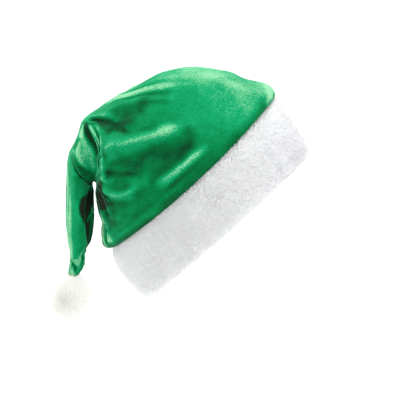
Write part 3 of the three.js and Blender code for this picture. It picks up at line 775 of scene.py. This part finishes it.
def velvet_material(colours):
    """Green pile velvet: painted shade in the valleys, painted highlights on the ridges and lit faces,
    with sheen.
    """
    look, tree, shader, pile, _ = material(
        "green_velvet", {"Speckle Scale": 640.0, "Patch Scale": 48.0})
    # The painted light and shade stored on the crown's mesh picks the velvet's colour
    painted_shading = add_node(tree, "ShaderNodeAttribute", {}, attribute_name="painted_shading")["Fac"]
    patches = math_node(tree, "MULTIPLY", pile["Patches"], PATCH_SHARE)
    grain = math_node(tree, "SUBTRACT", pile["Speckle"], 0.5)
    strength = math_node(tree, "ADD", math_node(tree, "MULTIPLY", painted_shading, GRAIN_BY_PAINTED_LIGHT), GRAIN_AT_LEAST)
    speckle = math_node(tree, "MULTIPLY", grain, strength)
    tone = math_node(tree, "ADD", painted_shading, math_node(tree, "ADD", patches, speckle))
    tone = math_node(tree, "SUBTRACT", tone, PATCH_SHARE / 2, clamp=True)
    stops = zip(VELVET_STOPS, (colours.velvet_painted_shadow, colours.velvet_painted_shade, colours.velvet_mid,
                               colours.velvet_painted_highlight, colours.velvet_painted_bright_highlight))
    set_inputs(tree, shader, {
        "Base Color": ramp(tree, tone, tuple(stops)), "Roughness": 0.85, "Specular IOR Level": 0.04,
        "Sheen Weight": 0.28, "Sheen Roughness": 0.30, "Sheen Tint": (*colours.velvet_sheen, 1.0),
        "Normal": bump(tree, pile["Height"], 0.55, 0.0006)})
    return look


def backing_material(colours):
    """The knitted back of the velvet, seen inside the hat."""
    look, tree, shader, pile, _ = material(
        "velvet_backing", {"Speckle Scale": 900.0, "Stretch": (1.0, 1.0, 0.35)})
    deep = [value * 0.75 for value in colours.backing]
    colour = ramp(tree, pile["Speckle"], ((0.3, deep), (0.7, colours.backing)))
    set_inputs(tree, shader, {
        "Base Color": colour, "Roughness": 0.95, "Sheen Weight": 0.2,
        "Normal": bump(tree, pile["Height"], 0.5, 0.0005)})
    return look


def plush_material(colours, name, patch_scale, warm=1.0, glow=0.0):
    """White plush: a little grey in random patches and specks, with painted shade to the front; glow is
    painted light, an even emission from the pile.
    """
    look, tree, shader, pile, place = material(
        name, {"Speckle Scale": 260.0, "Patch Scale": patch_scale})
    light, shade = ((*each[:2], each[2] * warm) for each in (colours.plush, colours.plush_shade))
    # Painted shade: the plush darkens towards the front
    ahead = add_node(tree, "ShaderNodeSeparateXYZ", {0: place})["X"]
    front = math_node(tree, "MULTIPLY", math_node(tree, "SUBTRACT", ahead, SHADE_FROM), SHADE_RISE)
    tone = math_node(tree, "ADD", math_node(tree, "MULTIPLY", pile["Patches"], 0.6),
                     math_node(tree, "MULTIPLY", pile["Speckle"], 0.4))
    tone = math_node(tree, "SUBTRACT", tone, math_node(tree, "MAXIMUM", front, 0.0))
    front_shade = [value * 0.88 for value in shade]
    set_inputs(tree, shader, {
        "Base Color": ramp(tree, tone, ((0.10, front_shade), (0.30, shade), (0.50, light))),
        "Roughness": 0.9, "Specular IOR Level": 0.2, "Sheen Weight": 0.35, "Sheen Roughness": 0.5,
        "Emission Color": (*light, 1.0), "Emission Strength": glow})
    return look


# Pile made of bent tapering strands, set on a surface with Geometry Nodes

def strand_mesh(name, width):
    """One strand of pile, one unit long: a bent blade of two triangles, widest in its middle."""
    half = width / 2
    points = np.array(((0, 0, 0), (-half, 0.10, 0.50), (half, 0.10, 0.50), (0, 0.36, 0.96)))
    return mesh_from(name, points, ((0, 2, 1), (1, 2, 3)))


def pile_tree(name, strand, look):
    """Strands over a surface: density, length, spread, curl size and seed are its inputs."""
    tree, given, out, ids = node_group(
        name, "GeometryNodeTree",
        (("Geometry", "Geometry", None), ("Density", "Float", 1e6), ("Length", "Float", 0.008),
         ("Spread", "Float", 0.5), ("Curl Size", "Float", 90.0), ("Seed", "Int", 1)),
        (("Geometry", "Geometry", None),))

    def add(kind, inputs, **settings):
        return add_node(tree, kind, inputs, **settings)

    def vector_math(operation, first, second):
        return add("ShaderNodeVectorMath", {0: first, 1: second}, operation=operation)[0]

    def scaled(vector, amount):
        return add("ShaderNodeVectorMath", {0: vector, "Scale": amount}, operation="SCALE")[0]

    def random_number(low, high):
        return add("FunctionNodeRandomValue", {2: low, 3: high}, data_type="FLOAT")[1]

    # The pile leans with a slow swirl and a quick one, and each strand with one of its own.
    def swirl(scale, amount):
        place = add("GeometryNodeInputPosition", {})[0]
        texture = add("ShaderNodeTexNoise", {"Detail": 1.0, "Vector": place, "Scale": scale})
        return scaled(vector_math("SUBTRACT", texture["Color"], (0.5, 0.5, 0.5)), amount)

    scatter = add("GeometryNodeDistributePointsOnFaces", {
        "Mesh": given["Geometry"], "Density": given["Density"], "Seed": given["Seed"]})
    random = add("FunctionNodeRandomValue", {0: (-1, -1, -1), 1: (1, 1, 1), "Seed": given["Seed"]},
                 data_type="FLOAT_VECTOR")[0]
    lean = scatter["Normal"]
    slow, quick, quick_size = 0.9, 0.35, 240.0
    for part in (swirl(given["Curl Size"], slow), swirl(quick_size, quick),
                 scaled(random, given["Spread"])):
        lean = vector_math("ADD", lean, part)
    stand = add("FunctionNodeAlignRotationToVector", {"Vector": lean}, axis="Z")[0]
    spin = add("ShaderNodeCombineXYZ", {"Z": random_number(0.0, 2 * math.pi)})[0]
    twist = add("FunctionNodeRotateRotation", {"Rotation": stand, "Rotate By": spin},
                rotation_space="LOCAL")[0]

    # A strand is one unit long and as wide as it should be, so only its length is scaled.
    height = math_node(tree, "MULTIPLY", random_number(*STRAND_LENGTHS), given["Length"])
    scale = add("ShaderNodeCombineXYZ", {"X": 1.0, "Y": height, "Z": height})[0]
    source = add("GeometryNodeObjectInfo", {"Object": strand, "As Instance": True})["Geometry"]
    place = add("GeometryNodeInstanceOnPoints", {
        "Points": scatter["Points"], "Instance": source, "Rotation": twist, "Scale": scale})[0]
    real = add("GeometryNodeRealizeInstances", {0: place})[0]
    paint = add("GeometryNodeSetMaterial", {"Geometry": real, "Material": look})[0]
    set_inputs(tree, out, {"Geometry": paint})
    return tree, ids


def grow_pile(name, ground, tree, ids, values):
    """Runs a pile tree on a hidden ground mesh and keeps the result as a plain mesh."""
    grower = new_object(name + "_ground", ground)
    modifier = grower.modifiers.new("pile", "NODES")
    modifier.node_group = tree
    for label, value in values.items():
        modifier[ids[label]] = value
    depsgraph = bpy.context.evaluated_depsgraph_get()
    mesh = bpy.data.meshes.new_from_object(grower.evaluated_get(depsgraph))
    bpy.data.objects.remove(grower)
    mesh.name = name
    return new_object(name, mesh)


def strand_share():
    return 1.0


def ball(name, subdivisions, radius, middle):
    """A round mesh about a place."""
    work = bmesh.new()
    bmesh.ops.create_icosphere(work, subdivisions=subdivisions, radius=radius)
    bmesh.ops.translate(work, verts=work.verts, vec=middle)
    mesh = bpy.data.meshes.new(name)
    work.to_mesh(mesh)
    work.free()
    return mesh


# Operators

class HAT_OT_crown(bpy.types.Operator):
    """Velvet crown with its folded tail, one closed piece with its inside"""

    bl_idname = "hat.crown"
    bl_label = "Velvet crown"

    def execute(self, context):
        sizes, colours = context.scene.hat_sizes, context.scene.hat_colours
        rows, sides, inner_rows = CROWN_GRID
        grid, tone, above = cloth_grid(sizes, rows, sides)
        pick = np.round(np.linspace(0, rows - 1, inner_rows)).astype(int)
        normal = grid_normals(grid)
        for _ in range(3):
            normal = (normal + np.roll(normal, 1, 1) + np.roll(normal, -1, 1)) / 3
            normal[1:-1] = (normal[:-2] + normal[1:-1] + normal[2:]) / 3
        normal /= np.linalg.norm(normal, axis=-1, keepdims=True)
        # The inside has fewer rows, so it keeps below the bottoms of the folds between them.
        inner = (grid - normal * (sizes.cloth + above[..., None]))[pick]
        inner[-1, :, 2] += sizes.cloth
        outer_count, inner_count = rows * sides, inner_rows * sides
        tips = np.array((grid[-1].mean(0), inner[-1].mean(0)))
        points = np.concatenate((grid.reshape(-1, 3), inner.reshape(-1, 3), tips))

        side = np.arange(sides)
        after = (side + 1) % sides
        last_outer, last_inner = outer_count - sides, outer_count + inner_count - sides
        tip_outer, tip_inner = outer_count + inner_count, outer_count + inner_count + 1
        cap = np.stack((last_outer + after, last_outer + side, np.full(sides, tip_outer)), -1)
        floor = np.stack((last_inner + side, last_inner + after, np.full(sides, tip_inner)), -1)
        faces = [*grid_faces(rows, sides), *cap, *grid_faces(inner_rows, sides, outer_count, True),
                 *floor, *join_rings(0, outer_count, sides)]
        mesh = mesh_from("velvet_crown", points, faces)
        smooth(mesh)

        # Painted light and shade of the outside; the inside gets an even middle tone
        painted_shading = np.full(len(points), 0.5, np.float32)
        painted_shading[:outer_count] = tone.ravel()
        attribute = mesh.attributes.new("painted_shading", "FLOAT", "POINT")
        attribute.data.foreach_set("value", painted_shading)

        mesh.materials.append(velvet_material(colours))
        mesh.materials.append(backing_material(colours))
        outside = len(grid_faces(rows, sides)) + len(cap)
        slots = np.zeros(len(mesh.polygons), np.int32)
        slots[outside:] = 1
        mesh.polygons.foreach_set("material_index", slots)
        piece = finish_piece(new_object("velvet_crown", mesh), "velvet", "crown")
        return {"FINISHED"}


def band_ring(sizes, profile, sides, first=0.0, last=2 * math.pi):
    """Points of a ring of the band's sections, rows by profile point."""
    closed = last - first > 2 * math.pi - 1e-6
    angle = np.linspace(first, last, sides, endpoint=not closed)
    slump = sizes.band_slump * np.clip(-np.cos(angle), 0, 1) ** 2
    rings = []
    outer_face, low_belly = 0.5, 1.6
    for out, rise in profile:
        stand = slump * min(out / outer_face, 1) * math.sin(math.pi * rise ** low_belly)
        rings.append(rim_point(sizes, angle, out * sizes.band_thickness + stand,
                               rise * sizes.band_height * np.ones(sides)))
    return np.array(rings)


class HAT_OT_band(bpy.types.Operator):
    """Backing of the plush band: a closed ring that the pile stands on"""

    bl_idname = "hat.band"
    bl_label = "Band backing"

    def execute(self, context):
        sizes, colours = context.scene.hat_sizes, context.scene.hat_colours
        ring = band_ring(sizes, BAND_BACKING, BAND_SIDES)
        faces = [*grid_faces(len(ring), BAND_SIDES, 0, True),
                 *join_rings((len(ring) - 1) * BAND_SIDES, 0, BAND_SIDES)]
        mesh = mesh_from("band_backing", ring.reshape(-1, 3), faces)
        work = bmesh.new()
        work.from_mesh(mesh)
        bmesh.ops.recalc_face_normals(work, faces=work.faces)
        work.to_mesh(mesh)
        work.free()
        smooth(mesh)
        mesh.materials.append(plush_material(colours, "plush_backing", 70.0))
        piece = finish_piece(new_object("band_backing", mesh), "plush", "fur_band")
        return {"FINISHED"}


class HAT_OT_band_pile(bpy.types.Operator):
    """Pile of the band, in arcs round it"""

    bl_idname = "hat.band_pile"
    bl_label = "Band pile"

    def execute(self, context):
        sizes, pile = context.scene.hat_sizes, context.scene.hat_pile
        colours = context.scene.hat_colours
        look = plush_material(colours, "plush_pile", 60.0)
        strand = new_object("band_strand", strand_mesh("band_strand", pile.strand_width))
        tree, ids = pile_tree("band_pile", strand, look)
        face = BAND_BACKING[5:] + BAND_BACKING[:2]
        density = pile.band_density * strand_share()
        for index, name in enumerate(ARCS):
            first = ARC_START + ARC_SPAN * index
            ring = band_ring(sizes, face, ARC_SIDES, math.radians(first), math.radians(first + ARC_SPAN))
            rows, sides = ring.shape[:2]
            quads = [(r * sides + s, r * sides + s + 1, (r + 1) * sides + s + 1, (r + 1) * sides + s)
                     for r in range(rows - 1) for s in range(sides - 1)]
            ground = mesh_from("ground", ring.reshape(-1, 3), quads)
            values = {"Density": density, "Length": pile.band_pile, "Spread": 0.55,
                      "Curl Size": 70.0, "Seed": pile.seed + index}
            piece = grow_pile("band_pile_" + name, ground, tree, ids, values)
            finish_piece(piece, "plush")
        bpy.data.objects.remove(strand)
        return {"FINISHED"}


class HAT_OT_pompom(bpy.types.Operator):
    """White pompom at the tail's tip: a core and its long pile"""

    bl_idname = "hat.pompom"
    bl_label = "Pompom"

    def execute(self, context):
        pile, colours = context.scene.hat_pile, context.scene.hat_colours
        low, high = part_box("pompom")
        middle = Vector(((low[0] + high[0]) / 2, 0.0, (low[2] + high[2]) / 2))
        look = plush_material(colours, "pompom_pile", 120.0, pile.pompom_warm, pile.pompom_painted_glow)
        core = ball("pompom_core", 4, pile.pompom_core, middle)
        smooth(core)
        ground = core.copy()
        core.materials.append(look)
        piece = finish_piece(new_object("pompom_core", core), "pompom_plush", "pompom")

        strand = new_object("pompom_strand", strand_mesh("pompom_strand", pile.strand_width * 0.8))
        tree, ids = pile_tree("pompom_pile", strand, look)
        count = pile.pompom_strands * strand_share()
        values = {"Density": count / (4 * math.pi * pile.pompom_core ** 2),
                  "Length": pile.pompom_radius - pile.pompom_core, "Spread": 0.45,
                  "Curl Size": 110.0, "Seed": pile.seed + 20}
        piece = grow_pile("pompom_pile", ground, tree, ids, values)
        finish_piece(piece, "pompom_plush")

        # A little pile reaches up over the tail's tip.
        sizes = context.scene.hat_sizes
        tip = key_rings(sizes, np.linspace(0, 2 * math.pi, 24, endpoint=False))[-1].mean(0)
        neck = ball("pompom_neck", 3, pile.neck_radius, Vector(tip))
        values["Density"] = pile.neck_density * strand_share()
        values["Length"] = pile.neck_pile
        piece = grow_pile("pompom_neck", neck, tree, ids, values)
        finish_piece(piece, "pompom_plush")
        bpy.data.objects.remove(strand)
        return {"FINISHED"}


class HAT_OT_studio(bpy.types.Operator):
    """Camera, pale floor and soft lights"""

    bl_idname = "hat.studio"
    bl_label = "Studio"

    def execute(self, context):
        studio = context.scene.hat_studio
        rise = studio.camera_rise
        back = Vector((0.0, -math.cos(rise), math.sin(rise)))
        camera = bpy.data.objects.new("camera", bpy.data.cameras.new("camera"))
        context.scene.collection.objects.link(camera)
        camera.location = PICTURE_MIDDLE + back * studio.camera_distance
        camera.rotation_euler = (-back).to_track_quat("-Z", "Y").to_euler()
        camera.data.angle = 2 * math.atan(studio.frame_width / 2 / studio.camera_distance)
        context.scene.camera = camera

        floor = bpy.data.meshes.new("floor")
        half, level = 6.0, -studio.floor_drop
        corners = ((-half, -half), (half, -half), (half, half), (-half, half))
        floor.from_pydata([(*corner, level) for corner in corners], [], [(0, 1, 2, 3)])
        pale = bpy.data.materials.new("pale_floor")
        pale.use_nodes = True
        tree = pale.node_tree
        set_inputs(tree, tree.nodes["Principled BSDF"],
                   {"Base Color": (0.9, 0.9, 0.9, 1), "Roughness": 0.9})
        floor.materials.append(pale)
        new_object("floor", floor)

        powers = (studio.key_power, studio.fill_power, studio.rim_power)
        for (name, place, size), power in zip(LIGHTS, powers):
            light = bpy.data.objects.new(name, bpy.data.lights.new(name, "AREA"))
            context.scene.collection.objects.link(light)
            light.data.energy = power
            light.data.size = size
            light.location = place
            light.rotation_euler = (Vector(place) - PICTURE_MIDDLE).to_track_quat("Z", "Y").to_euler()

        world = bpy.data.worlds.new("white_surround")
        world.use_nodes = True
        tree = world.node_tree
        set_inputs(tree, tree.nodes["Background"],
                   {"Color": (1, 1, 1, 1), "Strength": studio.surround})
        context.scene.world = world
        context.scene.view_settings.view_transform = "Standard"
        return {"FINISHED"}


class HAT_PT_panel(bpy.types.Panel):
    """Lists the hat's pieces and their sizes"""

    bl_idname = "HAT_PT_panel"
    bl_label = "Santa hat"
    bl_space_type = "VIEW_3D"
    bl_region_type = "UI"
    bl_category = "Hat"

    def draw(self, context):
        layout = self.layout
        for step in STEPS:
            layout.operator(step.bl_idname)
        for name in GROUPS:
            box = layout.box()
            group = getattr(context.scene, name)
            for item in group.bl_rna.properties:
                if item.identifier not in {"rna_type", "name"}:
                    box.prop(group, item.identifier)


STEPS = (HAT_OT_studio, HAT_OT_crown, HAT_OT_band, HAT_OT_band_pile, HAT_OT_pompom)
GROUPS = {"hat_sizes": HatSizes, "hat_pile": PileSizes, "hat_colours": HatColours,
          "hat_studio": StudioSizes}
CLASSES = (*GROUPS.values(), *STEPS, HAT_PT_panel)


def register():
    for item in CLASSES:
        bpy.utils.register_class(item)
    for name, group in GROUPS.items():
        setattr(bpy.types.Scene, name, PointerProperty(type=group))


def unregister():
    for name in GROUPS:
        delattr(bpy.types.Scene, name)
    for item in reversed(CLASSES):
        bpy.utils.unregister_class(item)


def main():
    register()
    for step in STEPS:
        area, name = step.bl_idname.split(".")
        getattr(getattr(bpy.ops, area), name)()


if __name__ == "__main__":
    main()
